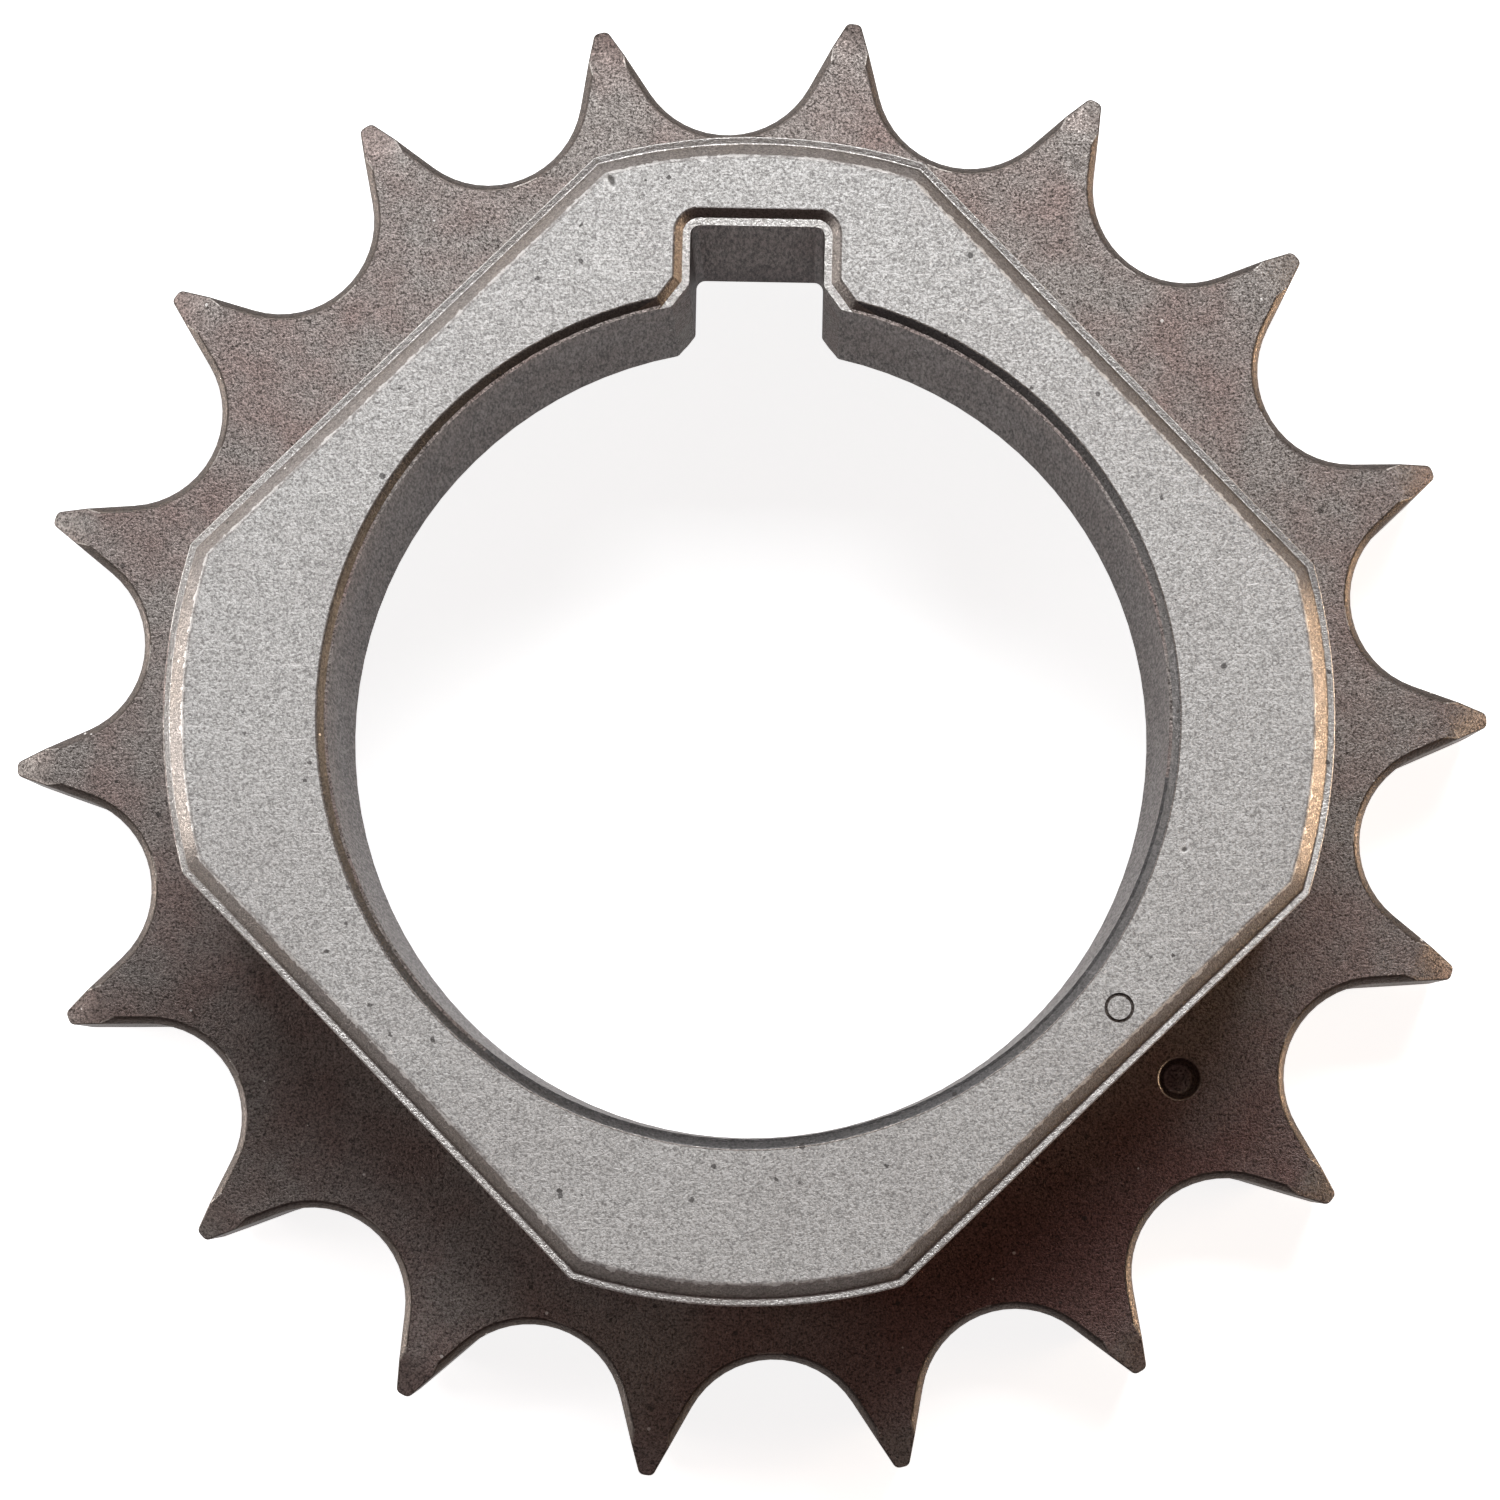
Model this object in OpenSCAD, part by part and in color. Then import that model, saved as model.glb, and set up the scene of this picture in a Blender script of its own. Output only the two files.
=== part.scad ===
// Crankshaft sprocket for a single-row roller chain, pressed and sintered in one piece.
// The origin is on the bore's axis in the back face, +Z points to the hub's face,
// and the keyway points along +Y.

/* [Chain and teeth] */
// Number of teeth
teeth = 18; // [17:1:24]
// Chain pitch, from one roller's centre to the next
pitch = 9.525; // [9.3:0.025:9.8]
// Diameter of the chain's rollers
roller_d = 6.35; // [5.9:0.05:6.6]
// Radius of the arc at the bottom of each tooth gap
gap_r = 3.69; // [3.4:0.01:3.8]
// Angle between a straight flank and the gap's centre line
flank_a = 31.5; // [29:0.5:33]
// Height of the tooth tips above the pitch circle
tip_rise = 1.67; // [1.2:0.01:1.9]
// Thickness of the toothed plate
plate_t = 5.3; // [4.2:0.1:7]
// Radial length of the tapered relief on both sides of each tip
relief_l = 1.8; // [0.8:0.1:2.4]
// How far the relief has dropped at the tip
relief_drop = 0.7; // [0.2:0.05:1.2]
// Bevel on the edges of the tooth gaps
gap_bevel = 0.25; // [0.1:0.05:0.4]

/* [Hub] */
// Height of the hub's face above the back face
hub_h = 15; // [11:0.5:20]
// Diameter over the hub's four round corners
hub_d = 43.4; // [41.6:0.1:44]
// Distance across the hub's flats
flats_w = 38.1; // [37.4:0.1:40]
// Bevel around the hub's face
hub_bevel = 0.55; // [0.3:0.05:0.8]
// Narrow level ledge at the foot of that bevel
hub_ledge = 0.28; // [0.15:0.01:0.4]
// Sloped foot under the hub's round corners
foot = 0.4; // [0.3:0.05:0.6]
// Smaller sloped foot under its flats
flat_foot = 0.25; // [0.1:0.05:0.25]

/* [Bore and keyway] */
// Bore diameter
bore_d = 31.1; // [30:0.05:31.5]
// Bevel around the bore's mouth
bore_bevel = 0.25; // [0.15:0.01:0.28]
// Ledge between that bevel and the bore's wall
bore_ledge = 0.12; // [0.08:0.01:0.2]
// Keyway width
key_w = 5; // [4:0.1:6]
// Depth of the keyway below the bore's surface
key_depth = 2.75; // [2:0.05:2.9]
// Radius in the two corners of the keyway's floor
key_corner = 0.35; // [0.2:0.05:0.6]
// Bevel around the keyway's mouth
key_bevel = 0.3; // [0.29:0.01:0.4]
// Ledge between that bevel and the keyway's walls
key_ledge = 0.28; // [0.2:0.01:0.35]
// Width of the cut corners where the keyway meets the bore
entry_w = 0.65; // [0.4:0.05:0.9]
// Height of those corners along the keyway's walls
entry_h = 0.75; // [0.4:0.05:0.9]

/* [Back] */
// Diameter of the recess in the back
recess_d = 38.7; // [38.2:0.1:39.6]
// Thickness of plate that the recess leaves under the hub's flats
web_t = 0.9; // [0.7:0.1:1.6]
// Bevel around the recess
back_bevel = 0.3; // [0.2:0.05:0.35]
// Bevel behind the bore
bore_back = 1.2; // [0.4:0.1:1.4]

/* [Timing marks] */
// Angle from the keyway to the marked tooth, clockwise as seen from the front
mark_a = 127; // [120:0.5:134]
// Distance of the dot on the plate from the axis
dot_at = 21.4; // [21:0.1:22]
// Diameter of the dot
dot_d = 1.7; // [1:0.1:2]
// Depth of the dot
dot_h = 0.7; // [0.3:0.1:1.2]
// Distance of the ring on the hub's face from the axis
ring_at = 17.35; // [17.1:0.05:17.4]
// Outer diameter of the ring
ring_d = 1.1; // [0.8:0.05:1.3]
// Width of the ring's groove
ring_w = 0.12; // [0.08:0.01:0.2]
// Depth of the ring's groove
ring_h = 0.08; // [0.05:0.01:0.15]

/* [Hidden] */
$fn = 96;
// How far each cut runs past the surface that it opens
over = 0.2;
steel = [0.56, 0.54, 0.53];

// The rollers' centres lie on the pitch circle, and the gaps' floors are roller_d / 2 inside it
pitch_r = pitch / 2 / sin(180 / teeth);
root_r = pitch_r - roller_d / 2;
gap_at = root_r + gap_r;
tip_r = pitch_r + tip_rise;
// Long enough for a flank to leave the blank
flank_l = tip_r - root_r;
mark_dir = 90 - mark_a;
hub_r = hub_d / 2;
bore_r = bore_d / 2;
flat_at = flats_w / 2;
key_floor = bore_r + key_depth;
ledge_z = hub_h - hub_bevel;
recess_h = plate_t - web_t;
// The bevel behind the keyway stays inside the recess
key_back = min(bore_back - 0.15, recess_d / 2 - key_floor - over - 0.05);

// Section of a cut from z0 up to z1, whose wall stands at distance r. Both its edges are
// bevelled, with a ledge between the wall and the upper bevel if one is given.
function cut_section(r, z0, z1, bevel0, bevel1, ledge = 0) = concat(
    [[0, z0 - over], [r + bevel0 + over, z0 - over], [r, z0 + bevel0], [r, z1 - bevel1]],
    ledge > 0 ? [[r + ledge, z1 - bevel1]] : [],
    [[r + ledge + bevel1 + over, z1 + over], [0, z1 + over]]
);

// Sweeps a section that is drawn in X and Z along +Y, over the length l
module along_y(l) {
    translate([0, l, 0])
        rotate([90, 0, 0])
            linear_extrude(height = l)
                children();
}

// The plate as a plain disc, tapered at the rim on both sides
module disc() {
    rotate_extrude()
        polygon([
            [0, 0],
            [tip_r - relief_l, 0],
            [tip_r, relief_drop],
            [tip_r, plate_t - relief_drop],
            [tip_r - relief_l, plate_t],
            [0, plate_t]
        ]);
}

module toothed_plate() {
    difference() {
        disc();
        for (k = [0 : teeth - 1])
            rotate([0, 0, mark_dir + (k + 0.5) * 360 / teeth])
                gap_cut();
    }
}

// The hub up to the ledge. Its sloped foot runs on a little way into the plate.
module hub_wall() {
    sunk = web_t / 2;
    z0 = plate_t - sunk;
    far = hub_r + foot + sunk + over;
    difference() {
        rotate_extrude()
            polygon([
                [0, z0],
                [hub_r + foot + sunk, z0],
                [hub_r, plate_t + foot],
                [hub_r, ledge_z],
                [0, ledge_z]
            ]);
        beside_flats()
            polygon([
                [flat_at + flat_foot + sunk + over, z0 - over],
                [flat_at, plate_t + flat_foot],
                [flat_at, ledge_z + over],
                [far, ledge_z + over],
                [far, z0 - over]
            ]);
    }
}

// The bevelled top of the hub, which leaves the ledge around it
module hub_top() {
    r = hub_r - hub_ledge;
    x = flat_at - hub_ledge;
    difference() {
        translate([0, 0, ledge_z])
            cylinder(h = hub_bevel, r1 = r, r2 = r - hub_bevel);
        beside_flats()
            polygon([
                [x + over, ledge_z - over],
                [x - hub_bevel - over, hub_h + over],
                [hub_r + over, hub_h + over],
                [hub_r + over, ledge_z - over]
            ]);
    }
}

// What is taken off beside each of the four flats, from its section in X and Z
module beside_flats() {
    for (k = [0 : 3])
        rotate([0, 0, 45 + 90 * k])
            translate([0, -hub_r, 0])
                along_y(hub_d)
                    children();
}

// One tooth gap, which opens along +X: a round floor, and flanks that run on from its ends
module gap_cut() {
    section = cut_section(gap_r, 0, plate_t, gap_bevel, gap_bevel);
    arc_a = 90 - flank_a;
    translate([gap_at, 0, 0]) {
        rotate([0, 0, 180 - arc_a])
            rotate_extrude(angle = 2 * arc_a)
                polygon(section);
        for (side = [0, 1])
            mirror([0, side, 0])
                rotate([0, 0, flank_a - 90])
                    mirror([1, 0, 0])
                        along_y(flank_l)
                            polygon(section);
        gap_core();
    }
}

// The wedge between the two flanks' cuts, wide enough to run a little way into both
module gap_core() {
    into = gap_r / 3;
    far_x = flank_l * cos(flank_a);
    far_y = flank_l * sin(flank_a) + into / cos(flank_a);
    translate([0, 0, -over])
        linear_extrude(height = plate_t + 2 * over)
            polygon([[-into / sin(flank_a), 0], [far_x, -far_y], [far_x, far_y]]);
}

module bore_cut() {
    rotate_extrude()
        polygon(cut_section(bore_r, recess_h, hub_h, bore_back, bore_bevel, bore_ledge));
}

module keyway_cut() {
    corner_x = key_w / 2 - key_corner;
    corner_y = key_floor - key_corner;
    for (side = [0, 1])
        mirror([side, 0, 0]) {
            along_y(corner_y)
                polygon(key_section(key_w / 2));
            translate([corner_x, corner_y, 0])
                rotate_extrude(angle = 90)
                    polygon(key_section(key_corner));
            entry_cut();
        }
    rotate([0, 0, 90])
        translate([0, -corner_x, 0])
            along_y(2 * corner_x)
                polygon(key_section(key_floor));
}

function key_section(r) = cut_section(r, recess_h, hub_h, key_back, key_bevel, key_ledge);

// The cut corner between the keyway's wall on the +X side and the bore
module entry_cut() {
    x = key_w / 2;
    foot_y = sqrt(bore_r * bore_r - (x + entry_w) * (x + entry_w));
    top_y = sqrt(bore_r * bore_r - x * x) + entry_h;
    slope = atan2(top_y - foot_y, entry_w);
    reach = norm([entry_w, top_y - foot_y]);
    wide = key_w / 2;
    translate([x, top_y, 0])
        rotate([0, 0, 90 - slope])
            translate([-wide, -reach - wide / 4, 0])
                along_y(reach + wide / 2)
                    polygon(key_section(wide));
}

module recess_cut() {
    r = recess_d / 2;
    rotate_extrude()
        polygon([
            [0, -over],
            [r + back_bevel + over, -over],
            [r, back_bevel],
            [r, recess_h],
            [0, recess_h]
        ]);
}

module timing_marks() {
    rotate([0, 0, mark_dir]) {
        translate([dot_at, 0, plate_t - dot_h])
            cylinder(h = dot_h + over, d1 = dot_d * 0.8, d2 = dot_d);
        translate([ring_at, 0, hub_h - ring_h])
            difference() {
                cylinder(h = ring_h + over, d = ring_d);
                translate([0, 0, -over])
                    cylinder(h = ring_h + 3 * over, d = ring_d - 2 * ring_w);
            }
    }
}

module sprocket() {
    color(steel)
        difference() {
            union() {
                toothed_plate();
                hub_wall();
                hub_top();
            }
            bore_cut();
            keyway_cut();
            recess_cut();
            timing_marks();
        }
}

sprocket();
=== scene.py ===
"""A crankshaft sprocket of sintered steel, lying flat on its back face."""

import math

import bmesh
import bpy
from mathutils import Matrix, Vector


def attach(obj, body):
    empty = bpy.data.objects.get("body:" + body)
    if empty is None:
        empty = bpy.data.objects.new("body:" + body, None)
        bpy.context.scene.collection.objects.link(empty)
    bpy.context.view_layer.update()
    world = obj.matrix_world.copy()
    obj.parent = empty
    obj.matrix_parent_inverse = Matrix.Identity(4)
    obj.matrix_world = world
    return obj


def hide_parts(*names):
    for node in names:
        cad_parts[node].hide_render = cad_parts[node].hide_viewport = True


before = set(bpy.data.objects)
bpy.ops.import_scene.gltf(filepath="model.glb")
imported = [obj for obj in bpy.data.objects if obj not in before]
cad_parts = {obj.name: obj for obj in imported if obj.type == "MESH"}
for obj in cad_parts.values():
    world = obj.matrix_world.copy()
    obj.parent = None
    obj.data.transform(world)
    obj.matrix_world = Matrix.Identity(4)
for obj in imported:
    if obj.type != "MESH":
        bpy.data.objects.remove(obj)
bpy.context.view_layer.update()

MM = 0.001
TEETH = 18
# Direction of the marked tooth, in degrees from +X
MARKED_TOOTH = -37.0
# Distances in mm from the axis: the dot, the ring, and the flats and round sides of the hub's face
DOT_AT = 21.4
RING_AT = 17.35
FACE_FLATS = 18.22
FACE_ROUND = 20.87
# Grain of the pressed powder in mm. The real grain is finer and wouldn't show at this scale.
GRAIN = 0.09
# Edges that fold by more than this many degrees are eased, or kept crisp where they are narrow
EDGE_FOLD = 25
# Height of its bumps in mm
BUMP = 0.012
# Dents in the hub's face: place in mm, turn in degrees, length and width in mm, depth in bumps
DENTS = (((-5.45, 19.85, 15), -65, (0.9, 0.45), 6.0), ((16.15, -4.57, 15), 20, (0.4, 0.3), 3.0))
# Painted shade on the plate: place in mm, turn in degrees, length and width in mm, height, tone.
# It is a red-brown painted shadow of the hub on the side away from the keyway, a dark painted
# shadow beside it, and painted shade on the teeth at the keyway.
PAINTED_SHADE_SPOTS = (((11.5, -20.5, 5.3), 28, (44, 17), 0.6, "#CBA3A1"),
         ((-20.5, -15.0, 5.3), -45, (28, 15), 6, "#CBC8C6"),
         ((3.6, 29.6, 5.0), 0, (7, 7), 6, "#A8A3A1"),
         ((-6.7, 29.0, 5.0), 0, (7, 7), 6, "#A8A3A1"))


def linear(code):
    """An sRGB hex colour as linear RGBA."""
    parts = [int(code[i:i + 2], 16) / 255 for i in (1, 3, 5)]
    return [c / 12.92 if c <= 0.04045 else ((c + 0.055) / 1.055) ** 2.4 for c in parts] + [1.0]


def per_mm(size):
    """The scale of a pattern whose grain is size millimetres across."""
    return 1.0 / (size * MM)


def node(tree, kind, sets=(), **links):
    """Adds a node. sets holds its properties and its sockets' values, and links what its sockets
    read: socket names with _ for a space, or _0, _1 for a socket's number."""
    made = tree.nodes.new(kind)
    for key, value in dict(sets).items():
        if isinstance(key, str) and hasattr(made, key):
            setattr(made, key, value)
        else:
            made.inputs[key].default_value = value
    for key, source in links.items():
        socket = int(key[1:]) if key[0] == "_" else key.replace("_", " ")
        tree.links.new(source, made.inputs[socket])
    return made


def maths(t, operation, *values, clamp=False):
    """The result of a Math node, whose values are numbers or sockets."""
    sets = {"operation": operation, "use_clamp": clamp}
    links = {}
    for i, value in enumerate(values):
        if isinstance(value, bpy.types.NodeSocket):
            links[f"_{i}"] = value
        else:
            sets[i] = value
    return node(t, "ShaderNodeMath", sets, **links).outputs[0]


def spread(t, value, low, high, to_low=0.0, to_high=1.0):
    """Takes low to to_low and high to to_high, with all between in line, and stops at both."""
    ends = {1: low, 2: high, 3: to_low, 4: to_high}
    return node(t, "ShaderNodeMapRange", ends, _0=value).outputs[0]


def paint(t, base, tone, amount, kind="MIX"):
    """Mixes an sRGB tone into the colour base."""
    sets = {"data_type": "RGBA", "blend_type": kind, 7: linear(tone)}
    return node(t, "ShaderNodeMix", sets, _0=amount, _6=base).outputs[2]


def noise(t, place, size, detail=2.0, roughness=0.5):
    """A noise whose largest features are some size millimetres across."""
    sets = {"Scale": per_mm(size), "Detail": detail, "Roughness": roughness}
    return node(t, "ShaderNodeTexNoise", sets, Vector=place)


def flecks(t, place, spacing, channel, largest):
    """1 in small round flecks, from cells that are spacing millimetres wide. A fleck's radius is
    up to largest times that, and half of the cells have one, those that channel picks."""
    cells = node(t, "ShaderNodeTexVoronoi", {"Scale": per_mm(spacing)}, Vector=place)
    chance = node(t, "ShaderNodeSeparateColor", _0=cells.outputs["Color"]).outputs[channel]
    reach = spread(t, chance, 0.5, 1.0, 0.0, largest)
    return maths(t, "LESS_THAN", cells.outputs["Distance"], reach)


def spot(t, place, at, turn, size, height=0.6):
    """1 at a point, falling to 0 at the edge of an oval of that size in mm, turned by turn
    degrees. height is its size along Z."""
    sets = {"vector_type": "TEXTURE", "Location": [c * MM for c in at],
            "Rotation": (0, 0, math.radians(turn)),
            "Scale": [side / 2 * MM for side in (*size, height)]}
    oval = node(t, "ShaderNodeMapping", sets, Vector=place)
    far = node(t, "ShaderNodeVectorMath", {"operation": "LENGTH"}, _0=oval.outputs[0])
    fall = {"interpolation_type": "SMOOTHSTEP", 1: 0, 2: 1, 3: 1, 4: 0}
    return node(t, "ShaderNodeMapRange", fall, _0=far.outputs["Value"]).outputs[0]


def shaded_outline(t, place):
    """hub_outline, worked out by nodes."""
    axes = node(t, "ShaderNodeSeparateXYZ", _0=place)
    x, y = axes.outputs[0], axes.outputs[1]
    across = maths(t, "MAXIMUM", maths(t, "ABSOLUTE", maths(t, "ADD", x, y)),
                   maths(t, "ABSOLUTE", maths(t, "SUBTRACT", x, y)))
    across = maths(t, "MULTIPLY_ADD", across, 1 / MM / math.sqrt(2), -FACE_FLATS)
    flat = node(t, "ShaderNodeCombineXYZ", _0=x, _1=y)
    out = node(t, "ShaderNodeVectorMath", {"operation": "LENGTH"}, _0=flat.outputs[0])
    out = maths(t, "MULTIPLY_ADD", out.outputs["Value"], 1 / MM, -FACE_ROUND)
    return maths(t, "MAXIMUM", across, out)


def scratches(t, place):
    """1 along hair scratches 2 to 3 mm long. They are drawn 0.06 mm wide, wider than real ones,
    which wouldn't show."""
    lines = []
    for turn, seed in ((20, 0.0), (-62, 3.1), (75, 7.7)):
        sets = {"Rotation": (0, 0, math.radians(turn)), "Location": (seed, 0, 0),
                "Scale": (per_mm(2.2), per_mm(0.09), 0)}
        along = node(t, "ShaderNodeMapping", sets, Vector=place).outputs[0]
        hair = node(t, "ShaderNodeTexNoise", {"Scale": 1.0, "Detail": 1.0}, Vector=along)
        lines.append(spread(t, hair.outputs[0], 0.69, 0.76))
    return maths(t, "MAXIMUM", maths(t, "MAXIMUM", lines[0], lines[1]), lines[2])


def dented(t, place, shade, height):
    """Adds the dents to a colour and a height, darker in each and with a bright lip around it."""
    for at, turn, size, deep in DENTS:
        hit = spot(t, place, at, turn, size)
        lip = spot(t, place, at, turn, [side + 0.25 for side in size])
        shade = paint(t, shade, "#F4F2F0", maths(t, "SUBTRACT", lip, hit, clamp=True))
        shade = paint(t, shade, "#4A4643", spread(t, hit, 0.25, 0.7, 0, 0.8))
        height = maths(t, "SUBTRACT", height, maths(t, "MULTIPLY", hit, deep))
    return shade, height


def worn_rim(t, place, shade):
    """Dulls a colour along the edge of the hub's face, and rubs it bright in flecks 0.2 to 1 mm
    long where the edge stands proud."""
    near = maths(t, "ABSOLUTE", shaded_outline(t, place))
    shade = paint(t, shade, "#7E7773", spread(t, near, 0.05, 0.12, 0.6, 0))
    chips = noise(t, place, 0.45, detail=3.0, roughness=0.7).outputs[0]
    chipped = maths(t, "LESS_THAN", near, spread(t, chips, 0.46, 0.7, 0, 0.16))
    return paint(t, shade, "#EFECE9", maths(t, "MULTIPLY", chipped, 0.42))


def sintered(name, light, dark, warm, rough, metallic=0.85, drawn=1, low=None, painted_shade=False,
             marked=False, worn=False):
    """Sintered steel: grains of pressed powder in light and dark, patches of warm oxide, open
    pores, and a fine bump. drawn lengthens the grains along Z, low is the tone of a painted shade
    near the back, painted_shade adds spots of painted shade where the hub shades the plate and on
    the teeth at the keyway, marked the scratches and dents of a rubbed face, and worn a bright
    broken edge."""
    mat = bpy.data.materials.new(name)
    mat.use_nodes = True
    t = mat.node_tree
    t.nodes.clear()
    out = node(t, "ShaderNodeOutputMaterial")
    place = node(t, "ShaderNodeTexCoord").outputs["Object"]
    pulled = node(t, "ShaderNodeMapping", {"Scale": (1, 1, 1 / drawn)}, Vector=place).outputs[0]
    height = spread(t, noise(t, pulled, GRAIN, roughness=0.8).outputs[0], 0.4, 0.6)
    facets = node(t, "ShaderNodeTexVoronoi", {"Scale": per_mm(GRAIN)}, Vector=pulled)
    facets = node(t, "ShaderNodeSeparateColor", _0=facets.outputs["Color"]).outputs[0]
    grains = node(t, "ShaderNodeMix", {"data_type": "FLOAT", 0: 0.45}, _2=height, _3=facets)
    grains = grains.outputs[0]
    patches = spread(t, noise(t, place, 3.5, roughness=0.6).outputs[0], 0.4, 0.65, 0, 0.8)
    tones = {"data_type": "RGBA", 6: linear(light), 7: linear(warm)}
    shade = node(t, "ShaderNodeMix", tones, _0=patches).outputs[2]
    shade = node(t, "ShaderNodeMix", {"data_type": "RGBA", 6: linear(dark)}, _0=grains, _7=shade)
    shade = shade.outputs[2]
    # Painted shade: low darkens and reddens the colour towards the back, deep in the keyway
    if low:
        up = node(t, "ShaderNodeSeparateXYZ", _0=place).outputs[2]
        shade = paint(t, shade, low, spread(t, up, 5.2 * MM, 9 * MM, 1, 0), "MULTIPLY")
    # Painted shade: the hub's shadow on the plate, red-brown and dark, and shade on the teeth at
    # the keyway
    if painted_shade:
        for at, turn, size, tall, tone in PAINTED_SHADE_SPOTS:
            shade = paint(t, shade, tone, spot(t, place, at, turn, size, tall), "MULTIPLY")
    # Open pores, up to 0.2 mm across and some 3 mm apart on a face, with broken outlines
    ragged = noise(t, place, 0.12).outputs["Color"]
    ragged = node(t, "ShaderNodeVectorMath", {"operation": "MULTIPLY_ADD", 1: [0.16 * MM] * 3},
                  _0=ragged, _2=place).outputs[0]
    pores = flecks(t, ragged, 0.8, channel=0, largest=0.15)
    shade = paint(t, shade, "#3A3634", maths(t, "MULTIPLY", pores, 0.75))
    # Bright specks, some 0.1 mm across and 4 mm apart on a face
    specks = flecks(t, place, 0.9, channel=1, largest=0.085)
    shade = paint(t, shade, "#E8E4E0", maths(t, "MULTIPLY", specks, 0.7))
    if marked:
        shade = paint(t, shade, "#F2F0EE", maths(t, "MULTIPLY", scratches(t, place), 0.5))
        shade, height = dented(t, place, shade, height)
    if worn:
        shade = worn_rim(t, place, shade)
    dull = spread(t, grains, 0, 1, rough + 0.08, rough - 0.08)
    bump = node(t, "ShaderNodeBump", {"Strength": 0.6, "Distance": BUMP * MM}, Height=height)
    shader = node(t, "ShaderNodeBsdfPrincipled", {"Metallic": metallic}, Base_Color=shade,
                  Roughness=dull, Normal=bump.outputs[0])
    t.links.new(shader.outputs[0], out.inputs[0])
    return mat


# Steam-treated steel, as pressed: a dull grey-brown oxide, with painted shade spots on it
BLUED = sintered("steam_treated_steel", "#B0A9A4", "#3A3431", "#A8928C", 0.5, painted_shade=True)
# The same steel where its face was rubbed bright on a neighbour
RUBBED = sintered("rubbed_face_steel", "#E4E3E1", "#8C8A88", "#DDDBD9", 0.6, metallic=0.6,
                  marked=True, worn=True)
# The narrow ledge outside the bevel, scuffed by handling
LEDGE = sintered("scuffed_ledge_steel", "#DCD9D6", "#918D89", "#D6D1CC", 0.4)
# The pressed bevel around that face, still dark with oxide
PRESSED = sintered("pressed_bevel_steel", "#918A86", "#645F5B", "#91877F", 0.4, worn=True)
# Edges that handling has rubbed through to bright steel
EDGE = sintered("worn_edge_steel", "#B5AFAA", "#7D7671", "#AFA49B", 0.4)
# The walls and bevels of the tooth gaps, where the oxide is thick and smooth
GAPS = sintered("tooth_gap_steel", "#69605B", "#47423F", "#675C54", 0.38)
# The bore, sized by a punch: smoother and greyer
BORED = sintered("sized_bore_steel", "#918783", "#383332", "#8C7E78", 0.45, drawn=6)
# The bevel of its mouth, grey and dark
MOUTH = sintered("bore_mouth_steel", "#6E6C6C", "#4A4949", "#6B6866", 0.45)
# The keyway, which nothing rubs: the oxide is darkest there, with painted shade towards the back
KEYED = sintered("keyway_steel", "#83756F", "#2E2625", "#806B66", 0.45, drawn=6, low="#966A6E")


def pick_only(piece):
    """Makes piece the one selected object, and the active one."""
    bpy.ops.object.select_all(action="DESELECT")
    bpy.context.view_layer.objects.active = piece
    piece.select_set(True)


def sprocket_body():
    """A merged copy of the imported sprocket, with its flat faces made whole."""
    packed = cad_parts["sprocket"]
    piece = packed.copy()
    piece.data = packed.data.copy()
    piece.name = "sprocket_body"
    piece.parent = None
    bpy.context.collection.objects.link(piece)
    pick_only(piece)
    bpy.ops.object.mode_set(mode="EDIT")
    bpy.ops.mesh.select_all(action="SELECT")
    bpy.ops.mesh.remove_doubles(threshold=1e-6)
    bpy.ops.mesh.mark_sharp(clear=True)
    # Cuts through the tooth gaps keep each face simple, so that its edges can be eased
    turns = [MARKED_TOOTH + 360 / TEETH * (k + 0.5) for k in range(TEETH // 2)]
    for turn in turns + [MARKED_TOOTH]:
        a = math.radians(turn)
        bpy.ops.mesh.select_all(action="SELECT")
        bpy.ops.mesh.bisect(plane_co=(0, 0, 0), plane_no=(-math.sin(a), math.cos(a), 0))
        bpy.ops.mesh.mark_seam()
    bpy.ops.mesh.select_all(action="SELECT")
    bpy.ops.mesh.remove_doubles(threshold=2e-6)
    bpy.ops.mesh.dissolve_limited(angle_limit=math.radians(0.6), delimit={"SEAM"})
    bpy.ops.object.mode_set(mode="OBJECT")
    piece.data.materials.clear()
    return piece


def change_edges(piece, wanted, operator, **settings):
    """Runs an operator on the edges for which wanted(middle in mm, fold in degrees) holds."""
    bpy.ops.object.mode_set(mode="EDIT")
    bpy.ops.mesh.select_mode(type="EDGE")
    bpy.ops.mesh.select_all(action="DESELECT")
    mesh = bmesh.from_edit_mesh(piece.data)
    for edge in mesh.edges:
        middle = (edge.verts[0].co + edge.verts[1].co) / 2 / MM
        edge.select = wanted(middle, math.degrees(edge.calc_face_angle(0)))
    mesh.select_flush_mode()
    bmesh.update_edit_mesh(piece.data)
    operator(**settings)
    bpy.ops.object.mode_set(mode="OBJECT")


def finish_faces(piece, finish, wanted):
    """Gives finish to the faces for which wanted(middle in mm, normal) holds."""
    if finish.name not in piece.data.materials:
        piece.data.materials.append(finish)
    slot = piece.data.materials.find(finish.name)
    for face in piece.data.polygons:
        if wanted(face.center / MM, face.normal):
            face.material_index = slot


# The functions below take a point p in mm and a normal n. In Z, the plate's top is at 5.3, the
# ledges are at 14.45 around the hub, 14.7 in the keyway's mouth and 14.75 in the bore's, and the
# hub's face is at 15.
ray = Vector((math.cos(math.radians(MARKED_TOOTH)), math.sin(math.radians(MARKED_TOOTH))))
ring = ray * RING_AT
dot = ray * DOT_AT


def from_axis(p):
    """Distance in mm from the axis."""
    return p.to_2d().length


def hub_outline(p):
    """Distance in mm outside the outline of the hub's face, less than 0 inside it."""
    across = max(abs(p.x + p.y), abs(p.x - p.y)) / math.sqrt(2)
    return max(across - FACE_FLATS, from_axis(p) - FACE_ROUND)


def outer(p):
    """Outside the bore and keyway, on the rim of the hub."""
    return from_axis(p) > 18.0 and not (abs(p.x) < 3.5 and 0 < p.y < 18.9)


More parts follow.
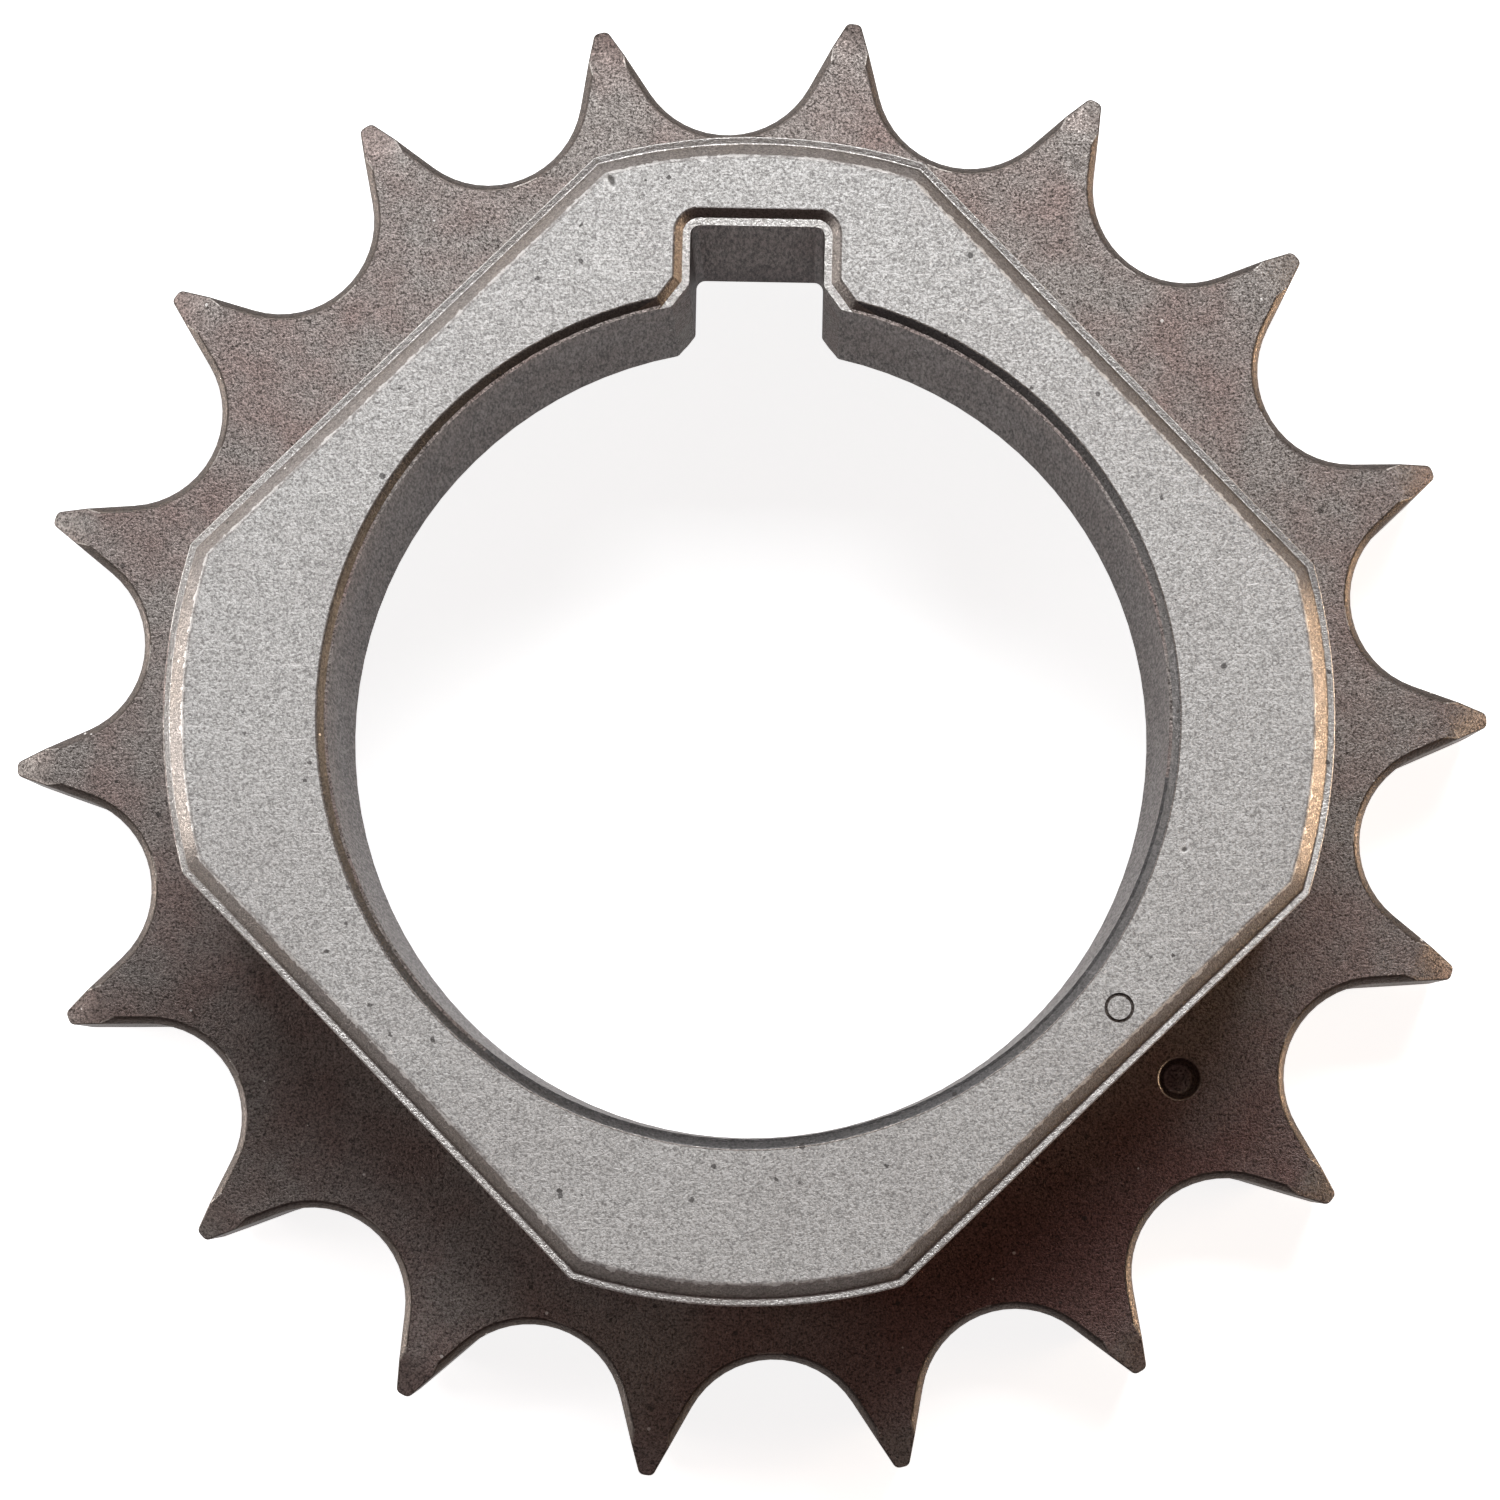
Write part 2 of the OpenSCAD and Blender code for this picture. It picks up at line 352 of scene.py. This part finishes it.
def key_side(p):
    """In the keyway, within its walls and floor."""
    return abs(p.x) < 2.7 and p.y > 15.9 and from_axis(p) < 18.9


def on_ledge(p):
    """On the ledge beside the hub's bevel."""
    return 14.44 < p.z < 14.6 and hub_outline(p) > 0.7


def on_tip(p, n):
    """On the sloped relief or the outer end of a tooth."""
    out = n.to_2d().dot(p.to_2d().normalized())
    return from_axis(p) > 27.4 and (out > 0.9 or out > 0.25 and abs(n.z) > 0.9)


def narrow(p):
    """On the ring mark, the foot or the narrow ledges of the mouth, whose edges stay crisp."""
    return (p.to_2d() - ring).length < 0.9 or 5.32 < p.z < 5.8 or 14.6 < p.z < 14.8


body = sprocket_body()
# The hub's ledge leans inwards beside the flats and at the keyway, and outwards on the -X side
for rise, wanted in ((0.02, lambda p: p.x > -19.5),
                     (0.044, lambda p: from_axis(p) < 21.6 or p.y > 15),
                     (-0.06, lambda p: p.x < -20.2)):
    change_edges(body, lambda p, fold: on_ledge(p) and wanted(p),
                 bpy.ops.transform.translate, value=(0, 0, rise * MM))
# The recess is opened a little, so that its wall stays out of sight below the keyway's floor
change_edges(body, lambda p, fold: p.z < 4.5 and 19.2 < from_axis(p) < 19.8,
             bpy.ops.transform.resize, value=(1.02, 1.02, 1))
# The dot narrows towards its floor, as the punch's point does
change_edges(body, lambda p, fold: 4 < p.z < 4.7 and (p.to_2d() - dot).length < 1,
             bpy.ops.transform.resize, value=(0.8, 0.8, 1),
             center_override=(dot.x * MM, dot.y * MM, 4.6 * MM))
for finish in (BLUED, EDGE):
    body.data.materials.append(finish)
# Handling has rounded the teeth's corners most, and worn all other edges
change_edges(body, lambda p, fold: from_axis(p) > 28.7 and 0.8 < p.z < 4.5 and fold > EDGE_FOLD,
             bpy.ops.mesh.bevel, offset=0.16 * MM, segments=3, profile=0.5, clamp_overlap=False)
change_edges(body, lambda p, fold: fold > EDGE_FOLD and not narrow(p), bpy.ops.mesh.bevel,
             offset=0.06 * MM, segments=2, profile=0.5, clamp_overlap=False, material=1)

# Each face gets the last finish whose test it passes
body_faces = (
    # The tooth gaps
    (GAPS, lambda p, n: from_axis(p) > 24 and n.z < 0.985 and not on_tip(p, n)),
    # The hub's face and the bevel around it
    (RUBBED, lambda p, n: p.z > 14.94),
    (PRESSED, lambda p, n: p.z > 14.5 and 0.6 < n.z < 0.8 and outer(p)),
    # The ledge below that bevel, its outer edge and its inner one
    (LEDGE, lambda p, n: 14.3 < p.z < 14.6 and n.z > 0.85),
    (BLUED, lambda p, n: 14.3 < p.z < 14.6 and n.z < 0.9 and hub_outline(p) > 0.7),
    (PRESSED, lambda p, n: 14.46 < p.z < 14.6 and 0.7 < n.z < 0.9 and outer(p)),
    # The ledge of the keyway's mouth, and the bevels of both mouths
    (LEDGE, lambda p, n: 14.6 < p.z < 14.72 and n.z > 0.9),
    (PRESSED, lambda p, n: 14.72 < p.z < 14.999 and 0.2 < n.z < 0.995 and not outer(p)),
    # The bevel of the bore's mouth again, and its ledge on the side away from the keyway
    (MOUTH, lambda p, n: 14.6 < p.z < 14.999 and n.z < 0.95 and 15.4 < from_axis(p) < 16.1
     and (p.y < 0 or abs(p.x) > 4)),
    (MOUTH, lambda p, n: 14.6 < p.z < 14.9 and n.z > 0.9 and p.y < 0 and p.x > -9
     and from_axis(p) < 16),
    # The ring mark's groove
    (GAPS, lambda p, n: 14.9 < p.z < 14.97 and (p.to_2d() - ring).length < 0.6),
    # The walls of the bore and keyway
    (BORED, lambda p, n: from_axis(p) < 15.7 and abs(n.z) < 0.2),
    (KEYED, lambda p, n: key_side(p) and abs(n.z) < 0.2),
)
for finish, wanted in body_faces:
    finish_faces(body, finish, wanted)
pick_only(body)
bpy.ops.object.shade_smooth_by_angle(angle=math.radians(50))
change_edges(body, lambda p, fold: fold > EDGE_FOLD and narrow(p), bpy.ops.mesh.mark_sharp)
bpy.ops.object.modifier_add(type="WEIGHTED_NORMAL")
weighted = body.modifiers[-1]
weighted.weight = 100
weighted.keep_sharp = True
bpy.ops.object.modifier_apply(modifier=weighted.name)

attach(body, "root")
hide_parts("sprocket")


def surroundings_level(t, seen, mirrored):
    """How strongly white surroundings glow where the camera sees them, and where they are
    mirrored or seen through something. The glow lights nothing else."""
    path = node(t, "ShaderNodeLightPath")
    other = maths(t, "MAXIMUM", path.outputs["Is Glossy Ray"], path.outputs["Is Transmission Ray"])
    other = maths(t, "MULTIPLY", other, mirrored)
    return maths(t, "MULTIPLY_ADD", path.outputs["Is Camera Ray"], seen, other)


# The floor is white to the camera, and still takes the sprocket's shadow. It lies 0.02 mm lower
# than the back face, so that the two don't share a plane.
bpy.ops.object.select_all(action="DESELECT")
bpy.ops.mesh.primitive_plane_add(size=12.0, location=(0, 0, 0))
floor = bpy.context.object
floor.name = "floor"
floor.location.z = -0.02 * MM
mat = bpy.data.materials.new("pale_floor")
mat.use_nodes = True
t = mat.node_tree
t.nodes.clear()
diffuse = node(t, "ShaderNodeBsdfDiffuse", {"Color": (0.9, 0.9, 0.9, 1)})
glow = node(t, "ShaderNodeEmission", {"Color": (1, 1, 1, 1)},
            Strength=surroundings_level(t, seen=0.87, mirrored=0.4))
both = node(t, "ShaderNodeAddShader", _0=diffuse.outputs[0], _1=glow.outputs[0])
node(t, "ShaderNodeOutputMaterial", _0=both.outputs[0])
floor.data.materials.append(mat)


def softbox(name, azimuth, elevation, distance, size, radiance, colour="#FFFFFF"):
    """A soft lamp turned to the sprocket. azimuth is in degrees from +X towards +Y."""
    a, e = math.radians(azimuth), math.radians(elevation)
    lamp = bpy.data.lights.new(name, "AREA")
    lamp.shape = "RECTANGLE"
    lamp.size, lamp.size_y = size
    lamp.energy = radiance * size[0] * size[1] * math.pi
    lamp.color = linear(colour)[:3]
    aim = Vector((0, 0, 8 * MM))
    away = Vector((math.cos(a) * math.cos(e), math.sin(a) * math.cos(e), math.sin(e))) * distance
    box = bpy.data.objects.new(name, lamp)
    bpy.context.collection.objects.link(box)
    box.location = away + aim
    box.rotation_euler = (-away).to_track_quat("-Z", "Y").to_euler()
    box.visible_camera = False


softbox("north_window", 90, 50, 0.45, (0.32, 0.16), 12.0, "#FAFDFF")
softbox("west_strip", 180, 4, 0.3, (0.15, 0.05), 22.0, "#FFFCF8")
softbox("east_strip", 2, 4, 0.3, (0.14, 0.05), 31.0, "#FFE0BC")
softbox("north_west_card", 137, 10, 0.3, (0.14, 0.08), 5.5)
softbox("west_card", 178, 27, 0.35, (0.1, 0.07), 8.0)

# White where the camera looks past the floor, a dim warm room for all else
world = bpy.data.worlds.new("studio")
bpy.context.scene.world = world
world.use_nodes = True
t = world.node_tree
t.nodes.clear()
room = node(t, "ShaderNodeBackground", {"Color": linear("#FFACA4"), "Strength": 0.05})
backdrop = node(t, "ShaderNodeBackground", {"Color": (1, 1, 1, 1)},
                Strength=surroundings_level(t, seen=1.0, mirrored=0.02))
both = node(t, "ShaderNodeAddShader", _0=room.outputs[0], _1=backdrop.outputs[0])
node(t, "ShaderNodeOutputWorld", _0=both.outputs[0])

# The camera's place, turn and lens are fitted to the photograph
camera = bpy.data.cameras.new("camera")
view = bpy.data.objects.new("camera", camera)
bpy.context.collection.objects.link(view)
view.location = (1.870 * MM, -14.849 * MM, 154.589 * MM)
view.rotation_euler = [math.radians(a) for a in (1.9772, 0.6104, 1.1566)]
camera.sensor_width = 36.0
camera.lens = 91.22
camera.shift_y = 0.16
camera.clip_start = 0.005
bpy.context.scene.camera = view
bpy.context.scene.view_settings.view_transform = "Standard"
